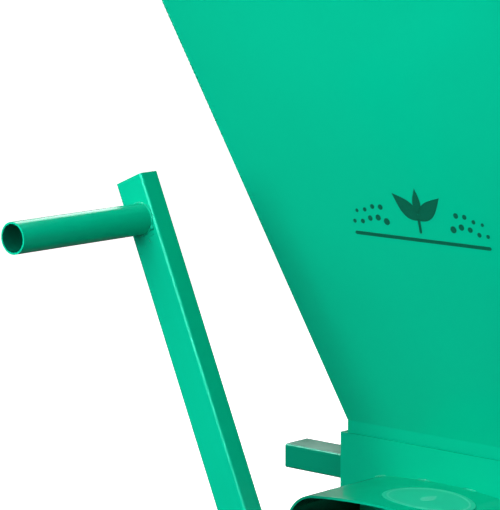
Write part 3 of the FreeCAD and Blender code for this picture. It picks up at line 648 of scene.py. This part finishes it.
def welds(name, body, beads):
    """One piece from several beads, each given as (points, radius, closed)."""
    swept = [sweep(points, radius, closed, k + 1)
             for k, (points, radius, closed) in enumerate(beads)]
    vertices, faces = join(swept)
    return new_piece(name, vertices, faces, WELD_GREEN, body, WELD_SHADE)


def box_loop(middle_x, half, lo, hi, z):
    """Level rectangle round a leg: its width from half, its depth from the leg's box."""
    low_x, high_x = middle_x - half, middle_x + half
    return polyline([Vector((low_x, lo[1], z)), Vector((high_x, lo[1], z)),
                     Vector((high_x, hi[1], z)), Vector((low_x, hi[1], z))])


def make_crank_welds():
    """Ring round the grip's foot, and a loop where the arm meets its hub."""
    ring = circle(GRIP_FOOT, X, Z, GRIP_R + 0.2 * MM, 120)
    welds("grip_weld", "rotor", [(ring, GRIP_BEAD, True)])
    along = Vector((GRIP_X, 0, GRIP_Z - SHAFT.z)).normalized()
    across = Vector((along.z, 0, -along.x))
    hub_r = (HUB_HI[0] - HUB_LO[0]) / 2
    spread = math.asin(ARM_HALF / hub_r)
    steps = 24
    arcs = []
    for y, order in ((ARM_LO[1], 1), (ARM_HI[1], -1)):
        arc = []
        for i in range(steps + 1):
            angle = order * (-spread + 2 * spread * i / steps)
            radial = along * math.cos(angle) + across * math.sin(angle)
            arc.append(SHAFT + Y * y + radial * hub_r)
        arcs.append(arc)
    front, back = arcs
    loop = front + evenly(front[-1], back[0])[1:-1] + back + evenly(back[-1], front[0])[1:-1]
    welds("arm_hub_weld", "rotor", [(loop, ARM_BEAD, True)])


def blob(centre, radius, squash, normal):
    """Small flattened drop of weld metal."""
    rings, count = 5, 10
    u = normal.orthogonal().normalized()
    v = normal.cross(u)
    vertices, faces = [], []
    for k in range(1, rings):
        angle = math.pi * k / rings
        level = centre + normal * (radius * squash * math.cos(angle))
        vertices += circle(level, u, v, radius * math.sin(angle), count)
    for k in range(rings - 2):
        a, b = k * count, (k + 1) * count
        faces += [(a + i, a + (i + 1) % count, b + (i + 1) % count, b + i) for i in range(count)]
    top, bottom = len(vertices), len(vertices) + 1
    vertices += [centre + normal * radius * squash, centre - normal * radius * squash]
    last = (rings - 2) * count
    for i in range(count):
        n = (i + 1) % count
        faces.append((top, n, i))
        faces.append((bottom, last + i, last + n))
    return vertices, faces


def make_spatter():
    """Lump where the grip's weld ends, and a few stuck drops below it."""
    rng = random.Random(11)
    down = (SHAFT - Vector((GRIP_X, SHAFT.y, GRIP_Z))).normalized()
    across = Vector((-down.z, 0, down.x))
    lump_way = down * 0.72 + across * 0.69
    drops = [blob(GRIP_FOOT + lump_way * (GRIP_R + 1.4 * MM), 2.6 * MM, 0.8, -Y)]
    for _ in range(9):
        reach = GRIP_R + rng.uniform(2.5, 11.0) * MM
        sideways = rng.uniform(-0.35, 0.75) * 12 * MM
        size = rng.uniform(0.35, 0.85) * MM
        drops.append(blob(GRIP_FOOT + down * reach + across * sideways, size, 0.7, -Y))
    vertices, faces = join(drops)
    new_piece("grip_weld_spatter", vertices, faces, WELD_GREEN, "rotor", WELD_SHADE)


def make_hood_welds():
    """Short stitches where the hood meets the front wall, ground nearly flush."""
    path = polyline(hood_profile(), False, 0.8 * MM)
    lengths = [0.0]
    for a, b in zip(path, path[1:]):
        lengths.append(lengths[-1] + (b - a).length)
    stitch, gap, place = 14 * MM, 34 * MM, 6 * MM
    beads = []
    while place + stitch < lengths[-1]:
        part = [p + Y * WALL_Y for p, at in zip(path, lengths) if place <= at <= place + stitch]
        beads.append((part, HOOD_BEAD, False))
        place += stitch + gap
    welds("hood_welds", "stand", beads)


def make_leg_welds():
    """Loops where the legs meet the side rails and the feet."""
    at_rail, at_foot = 10.6 * MM, 10.3 * MM      # half the loop's width
    beads = []
    for side in ("left", "right"):
        rail_x = middle(*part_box(side + "_side_rail")).x
        for end in ("front", "rear"):
            leg_lo, leg_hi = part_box("%s_%s_leg" % (side, end))
            top = leg_hi[2] - 0.6 * MM
            beads.append((box_loop(rail_x, at_rail, leg_lo, leg_hi, top), LEG_BEAD, True))
        foot_lo, foot_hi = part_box(side + "_foot")
        leg_lo, leg_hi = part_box(side + "_front_leg")
        foot_x, low = middle(foot_lo, foot_hi).x, foot_hi[2] + 0.5 * MM
        beads.append((box_loop(foot_x, at_foot, leg_lo, leg_hi, low), FOOT_BEAD, True))
    welds("leg_welds", "stand", beads)


def make_crossbar_welds():
    """Loops round the slanted ends of the crossbars."""
    beads = []
    for node in ("front_crossbar", "rear_crossbar"):
        lo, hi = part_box(node)
        for side in (-1, 1):
            low_x, high_x = extreme(node, lo[2], side), extreme(node, hi[2], side)
            corners = [Vector((low_x, lo[1], lo[2])), Vector((high_x, lo[1], hi[2])),
                       Vector((high_x, hi[1], hi[2])), Vector((low_x, hi[1], lo[2]))]
            beads.append((polyline(corners), CROSSBAR_BEAD, True))
    welds("crossbar_welds", "stand", beads)


def make_axle_welds():
    """Rings where the axle passes through the rear legs."""
    axle_lo, axle_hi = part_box("axle")
    radius = (axle_hi[2] - axle_lo[2]) / 2
    centre = middle(axle_lo, axle_hi)
    beads = []
    for name, side in (("left_rear_leg", -1), ("right_rear_leg", 1)):
        lo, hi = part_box(name)
        outer_low, outer_high = abs(extreme(name, lo[2], side)), abs(extreme(name, hi[2], side))
        slope = (outer_low - outer_high) / (hi[2] - lo[2])
        thick = LEG_SIDE * math.sqrt(1 + slope * slope)
        for depth in (0.0, thick):
            ring = []
            for point in circle(Vector((0, centre.y, centre.z)), Y, Z, radius, RING_POINTS):
                x = outer_low - slope * (point.z - lo[2]) - depth
                ring.append(Vector((side * x, point.y, point.z)))
            beads.append((ring, AXLE_BEAD, True))
    welds("axle_welds", "stand", beads)


def make_handle_welds():
    """Saddle beads at the top of the posts, and two runs beside each post's foot."""
    post_drop, post_back = 8 * MM, 0.84      # where a post's foot sits on its rail
    run_apart, run_inset = 3.2 * MM, 2 * MM
    bar_lo, bar_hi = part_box("handle_crossbar")
    bar_r = (bar_hi[2] - bar_lo[2]) / 2
    top = middle(bar_lo, bar_hi)
    beads = []
    for side in ("left", "right"):
        post_lo, post_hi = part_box(side + "_handle_tube")
        rail_lo, rail_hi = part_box(side + "_side_rail")
        post_r = (post_hi[0] - post_lo[0]) / 2
        foot_y = post_lo[1] + post_r * post_back
        foot_z = (rail_lo[2] + rail_hi[2]) / 2 - post_drop
        along = Vector((0, top.y - foot_y, top.z - foot_z)).normalized()
        other = along.cross(X)
        head = Vector(((post_lo[0] + post_hi[0]) / 2, top.y, top.z))
        saddle = []
        for i in range(RING_POINTS):
            angle = TURN * i / RING_POINTS
            back = math.sqrt(bar_r ** 2 - (post_r * math.sin(angle)) ** 2)
            saddle.append(head - along * back + X * (post_r * math.cos(angle))
                          + other * (post_r * math.sin(angle)))
        beads.append((saddle, SADDLE_BEAD, True))
        inner_x = post_lo[0] if side == "right" else post_hi[0]
        foot = Vector((inner_x, foot_y, foot_z))
        run = (rail_hi[2] - foot_z) / along.z - run_inset
        for shift in (-run_apart, run_apart):
            start = foot + other * shift + along * run_inset
            end = start + along * (run - 2 * run_inset)
            beads.append((evenly(start, end), POST_BEAD, False))
    welds("handle_welds", "stand", beads)


def make_hopper_welds():
    """Thin runs down the inside of the four corner seams."""
    top_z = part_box("hopper_left_panel")[1][2] - 3 * MM
    front_y, rear_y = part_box("hopper_front_panel")[0][1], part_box("hopper_rear_panel")[1][1]
    middle_y = (front_y + rear_y) / 2
    top_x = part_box("hopper_right_panel")[1][0] - HOPPER_LIP
    top_y = rear_y - HOPPER_LIP - middle_y
    beads = []
    for sx in (-1, 1):
        for sy in (-1, 1):
            low = Vector((sx * (SKIRT_HALF_X - HOPPER_SHEET),
                          middle_y + sy * (SKIRT_HALF_Y - HOPPER_SHEET), CREASE_Z))
            high = Vector((sx * (top_x - HOPPER_SHEET),
                           middle_y + sy * (top_y - HOPPER_SHEET), top_z))
            beads.append((evenly(low, high, 0.0013), HOPPER_BEAD, False))
    welds("hopper_welds", "stand", beads)


# ---- wheels and handle ----------------------------------------------------------------------
CROWN = 12 * MM                  # tread's middle above its shoulders
TREAD_BASE = 2.6 * MM            # rubber between the lugs below the tyre's outer radius
LUGS = 30                        # on each half of the tread
LUG_SINK, LUG_RISE = 1.5 * MM, 2.5 * MM
LUG_TAPER = 0.0016               # radians that each side of a lug leans in
WHEEL_STEPS = 144

# Rim disc in millimetres: distance out from the hub or in from the tyre's seat, and the dish's x.
DISH_BY_HUB = ((0, 0), (8, 0), (13, 0), (17, 1.5))
DISH_BY_SEAT = ((28, 7), (22, 9.5), (16, 10.6), (9, 11), (4.5, 10.6))
RIM_EDGE = ((3.4, 3), (2.6, 0.8), (1.2, 0), (0, 0.9))     # in from the seat, in from the side
DISC_T = 2.5 * MM
RIBS = 8
RIB_DEPTH = 2.0 * MM
RIB_FROM_HUB, RIB_FROM_SEAT = 14 * MM, 10 * MM


def crown_r(radius, t):
    """Radius of the rubber between the lugs, t = -1 to 1 across the tread."""
    return radius - CROWN + CROWN * (1 - t * t) - TREAD_BASE


def tyre_profile(radius, half, seat_r, seat_half):
    """Closed section: seat, sidewalls with two ribs each, and a rounded tread base."""
    wall_steps, crown_steps = 12, 16
    side = []
    for i in range(wall_steps + 1):
        t = i / wall_steps
        r = seat_r + (radius - CROWN - seat_r) * t
        x = seat_half + (half - seat_half) * t + 0.9 * MM * math.sin(math.pi * t)
        rib = 0.5 * MM if i in (3, 4, 8, 9) else 0.0
        side.append((r, min(x - 0.5 * MM + rib, half)))
    crown = []
    for i in range(1, crown_steps):
        t = -1 + 2 * i / crown_steps
        crown.append((crown_r(radius, t), -t * half * 0.98))
    return side + crown + [(r, -x) for r, x in reversed(side)]


def lug(angle0, angle1, skew, x0, x1, centre, radius, half):
    """One tread block that follows the crown; skew turns it round the tyre from x0 to x1."""
    cuts = 5
    vertices, faces = [], []
    for height, taper in ((-LUG_SINK, 0.0), (LUG_RISE, LUG_TAPER)):
        for k in range(cuts + 1):
            t = k / cuts
            x = x0 + (x1 - x0) * t
            r = crown_r(radius, x / half) + height
            for angle in (angle0 + taper, angle1 - taper):
                a = angle + skew * t
                vertices.append(Vector((centre.x + x, centre.y + r * math.cos(a),
                                        centre.z + r * math.sin(a))))
    layer = 2 * (cuts + 1)
    for k in range(cuts):
        a = 2 * k
        faces.append((a, a + 1, a + 3, a + 2))
        faces.append((layer + a, layer + a + 2, layer + a + 3, layer + a + 1))
        faces.append((a, a + 2, layer + a + 2, layer + a))
        faces.append((a + 1, layer + a + 1, layer + a + 3, a + 3))
    end = 2 * cuts
    faces.append((0, layer, layer + 1, 1))
    faces.append((end, end + 1, layer + end + 1, layer + end))
    return vertices, faces


def make_tyre(side):
    """Tyre with slanted lugs, each half set half a step from the other."""
    lo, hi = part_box(side + "_tyre")
    rim_lo, rim_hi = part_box(side + "_rim")
    centre = middle(lo, hi)
    radius, half = (hi[2] - lo[2]) / 2, (hi[0] - lo[0]) / 2
    seat_r, seat_half = (rim_hi[2] - rim_lo[2]) / 2, (rim_hi[0] - rim_lo[0]) / 2
    profile = tyre_profile(radius, half, seat_r, seat_half)
    parts = [revolve(profile, centre, WHEEL_STEPS)]
    step = TURN / LUGS
    lug_turn, lug_skew = step * 0.58, step * 0.45
    from_middle, to_shoulder = 2.0 * MM, half - 1.2 * MM
    for i in range(LUGS):
        for sign in (-1, 1):
            start = i * step + (step / 2 if sign > 0 else 0)
            parts.append(lug(start, start + lug_turn, lug_skew, sign * from_middle,
                             sign * to_shoulder, centre, radius, half))
    vertices, faces = join(parts)
    piece = new_piece(side + "_tyre_tread", vertices, faces, TYRE, side + "_wheel",
                      TYRE_SHADE)
    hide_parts(side + "_tyre")


def make_rim(side):
    """Pressed disc with eight shallow radial ribs and a rolled bead round its edge."""
    lo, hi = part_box(side + "_rim")
    hub_lo, hub_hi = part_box(side + "_wheel_hub")
    centre = middle(lo, hi)
    seat_r, half = (hi[2] - lo[2]) / 2, (hi[0] - lo[0]) / 2
    hub_r = (hub_hi[2] - hub_lo[2]) / 2
    out = 1 if side == "right" else -1
    dish = [(hub_r + r * MM, x * MM) for r, x in DISH_BY_HUB]
    dish += [(seat_r - r * MM, x * MM) for r, x in DISH_BY_SEAT]
    fine = []
    for (r0, x0), (r1, x1) in zip(dish, dish[1:]):
        fine += [(r0 + (r1 - r0) * k / 4, x0 + (x1 - x0) * k / 4) for k in range(4)]
    fine.append(dish[-1])
    edge = [(seat_r - r * MM, half - x * MM) for r, x in RIM_EDGE]
    far_edge = [(r, -x) for r, x in reversed(edge)]
    back = [(r, x - DISC_T) for r, x in reversed(fine)]
    profile = fine + edge + far_edge + [(edge[0][0], 6.5 * MM)] + back[1:]
    rib_lo, rib_hi = hub_r + RIB_FROM_HUB, seat_r - RIB_FROM_SEAT

    def ribbed(r, x, angle):
        rib = 0.0
        if rib_lo < r < rib_hi:
            wave = max(0.0, math.cos(RIBS * angle)) ** 3
            rib = RIB_DEPTH * wave * math.sin(math.pi * (r - rib_lo) / (rib_hi - rib_lo))
        return out * (x - rib)

    vertices, faces = revolve(profile, centre, WHEEL_STEPS, ribbed)
    piece = new_piece(side + "_rim_disc", vertices, faces, RIM_PAINT, side + "_wheel",
                      ROUND_SHADE)
    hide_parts(side + "_rim")


def make_sleeve():
    """Moulded rubber grip: plain end bands and close finger ribs between them."""
    end_round, end_drop, band = 3 * MM, 1.4 * MM, 12 * MM
    rib_base, rib_height, rib_pitch, valley = 1.1 * MM, 0.7 * MM, 5.5 * MM, -0.4
    lo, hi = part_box("handle_sleeve")
    bar_lo, bar_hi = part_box("handle_crossbar")
    outer, inner, half = (hi[2] - lo[2]) / 2, (bar_hi[2] - bar_lo[2]) / 2, (hi[0] - lo[0]) / 2
    profile = [(inner, -half)]
    steps = 220
    for i in range(steps + 1):
        x = -half + 2 * half * i / steps
        edge = half - abs(x)
        if edge < end_round:
            r = outer - end_drop * (1 - edge / end_round) ** 2
        elif edge < band:
            r = outer
        else:
            r = outer - rib_base + rib_height * max(valley, math.sin(TURN * x / rib_pitch))
        profile.append((r, x))
    profile.append((inner, half))
    vertices, faces = revolve(profile, middle(lo, hi), 64)
    piece = new_piece("handle_grip", vertices, faces, RUBBER, "stand", ROUND_SHADE)
    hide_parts("handle_sleeve")


# ---- stage, light and camera ----------------------------------------------------------------
FLOOR_FLAT, FLOOR_CURVE, FLOOR_WALL = 12.0, 6.0, 30.0    # flat radius, curve radius, wall's top
GLOW_NEAR, GLOW_FAR = 0.38, 0.85                         # floor's own light
GLOW_FROM, GLOW_TO = 0.7, 2.0                            # distances over which it rises

WORLD_STRENGTH = 0.4
WORLD_LEVELS = ((0.0, 0.26), (0.47, 0.26), (0.53, 0.75), (1.0, 1.0))   # from below to above

# Name, place, width and height, power, and whether it also lights matt surfaces. The strips don't:
# they are only there to draw lines along rounded edges.
LIGHTS = (
    ("key_softbox", (0.08, -1.42, 1.12), (0.52, 0.46), 11.5, True),
    ("top_softbox", (-0.42, -1.3, 1.62), (0.7, 0.7), 9.0, True),
    ("right_strip", (1.81, -2.25, 1.90), (0.22, 0.9), 50, False),
    ("left_strip", (-1.65, -0.43, 2.45), (0.8, 0.8), 40, False),
    ("side_softbox", (3.4, -0.6, 1.6), (2.2, 2.2), 14, True),
    ("back_softbox", (-1.8, 2.6, 2.6), (2.0, 2.0), 40, True),
)
LIGHT_AIM = (0, WALL_Y, BODY_TOP + 0.1)

CAMERA_AIM = (-BODY_HALF - 0.104, WALL_Y, BODY_TOP + 0.142)    # beside the hopper's foot
CAMERA_AZIMUTH = 41.82
CAMERA_ELEVATION = 8.82
CAMERA_DISTANCE = 2.4907
CAMERA_LENS = 201.7
CAMERA_SENSOR = 36.0
CAMERA_CLIP = (0.05, 200.0)


def make_floor():
    """Flat floor that curves up far away into a plain wall all round."""
    count, curve_steps = 96, 16
    profile = [(0.02, 0.0), (3.0, 0.0), (FLOOR_FLAT, 0.0)]
    for k in range(1, curve_steps + 1):
        angle = math.pi / 2 * k / curve_steps
        profile.append((FLOOR_FLAT + FLOOR_CURVE * math.sin(angle),
                        FLOOR_CURVE * (1 - math.cos(angle))))
    profile.append((FLOOR_FLAT + FLOOR_CURVE, FLOOR_WALL))
    n = len(profile)
    vertices = [(r * math.cos(TURN * i / count), r * math.sin(TURN * i / count), z)
                for i in range(count) for r, z in profile]
    faces = []
    for i in range(count):
        a, b = i * n, ((i + 1) % count) * n
        faces += [(a + k, b + k, b + k + 1, a + k + 1) for k in range(n - 1)]
    faces.append(tuple(i * n for i in reversed(range(count))))
    mesh = bpy.data.meshes.new("floor")
    mesh.from_pydata(vertices, [], faces)
    floor = bpy.data.objects.new("floor", mesh)
    bpy.context.scene.collection.objects.link(floor)
    g = Graph("pale_floor")
    shade = g.ramp(g.noise(3.0, 2.0), [(0.3, (0.93, 0.93, 0.93)), (0.7, (0.95, 0.95, 0.95))])
    g.feed("Base Color", shade)
    apart = g.node("ShaderNodeVectorMath", operation="LENGTH")
    g.link(g.coords, apart.inputs[0])
    g.feed("Emission Strength",
           g.range(apart.outputs["Value"], GLOW_NEAR, GLOW_FAR, GLOW_FROM, GLOW_TO))
    g.set(Roughness=0.9, Specular_IOR_Level=0.1, Emission_Color=(1, 1, 1, 1))
    mesh.materials.append(g.material)
    floor.visible_diffuse = False
    floor.visible_glossy = False


def make_world():
    """Bright above, dimmer below, so that undersides stay shaded over the pale floor."""
    world = bpy.data.worlds.new("studio")
    bpy.context.scene.world = world
    world.use_nodes = True
    tree = world.node_tree
    background = tree.nodes["Background"]
    coords = tree.nodes.new("ShaderNodeTexCoord")
    split = tree.nodes.new("ShaderNodeSeparateXYZ")
    shift = tree.nodes.new("ShaderNodeMapRange")
    ramp = tree.nodes.new("ShaderNodeValToRGB")
    shift.inputs["From Min"].default_value = -1.0
    shift.inputs["From Max"].default_value = 1.0
    tree.links.new(coords.outputs["Generated"], split.inputs["Vector"])
    tree.links.new(split.outputs["Z"], shift.inputs["Value"])
    tree.links.new(shift.outputs["Result"], ramp.inputs["Fac"])
    set_stops(ramp, [(place, (level, level, level)) for place, level in WORLD_LEVELS])
    tree.links.new(ramp.outputs["Color"], background.inputs["Color"])
    background.inputs["Strength"].default_value = WORLD_STRENGTH


def make_lights():
    """Area lights, all aimed at the hopper's foot and hidden from the camera."""
    for name, place, size, power, on_matt in LIGHTS:
        data = bpy.data.lights.new(name, "AREA")
        data.shape = "RECTANGLE"
        data.size, data.size_y = size
        data.energy = power
        lamp = bpy.data.objects.new(name, data)
        bpy.context.scene.collection.objects.link(lamp)
        lamp.location = place
        lamp.visible_camera = False
        lamp.visible_diffuse = on_matt
        lamp.rotation_mode = "QUATERNION"
        aim = Vector(LIGHT_AIM) - Vector(place)
        lamp.rotation_quaternion = aim.to_track_quat("-Z", "Y")


def make_camera():
    """Long lens from the right front."""
    a, e = math.radians(CAMERA_AZIMUTH), math.radians(CAMERA_ELEVATION)
    back = Vector((math.sin(a) * math.cos(e), -math.cos(a) * math.cos(e), math.sin(e)))
    data = bpy.data.cameras.new("camera")
    data.lens = CAMERA_LENS
    data.sensor_width = CAMERA_SENSOR
    data.clip_start, data.clip_end = CAMERA_CLIP
    camera = bpy.data.objects.new("camera", data)
    bpy.context.scene.collection.objects.link(camera)
    camera.location = Vector(CAMERA_AIM) + back * CAMERA_DISTANCE
    camera.rotation_mode = "QUATERNION"
    camera.rotation_quaternion = (-back).to_track_quat("-Z", "Y")
    bpy.context.scene.camera = camera


bpy.context.scene.view_settings.view_transform = "Standard"
paint_cad_nodes()
soften_edges()
make_emblem()
make_hood_label()
make_crank_welds()
make_spatter()
make_hood_welds()
make_leg_welds()
make_crossbar_welds()
make_axle_welds()
make_handle_welds()
make_hopper_welds()
make_tyre("left")
make_tyre("right")
make_rim("left")
make_rim("right")
make_sleeve()
make_floor()
make_world()
make_lights()
make_camera()
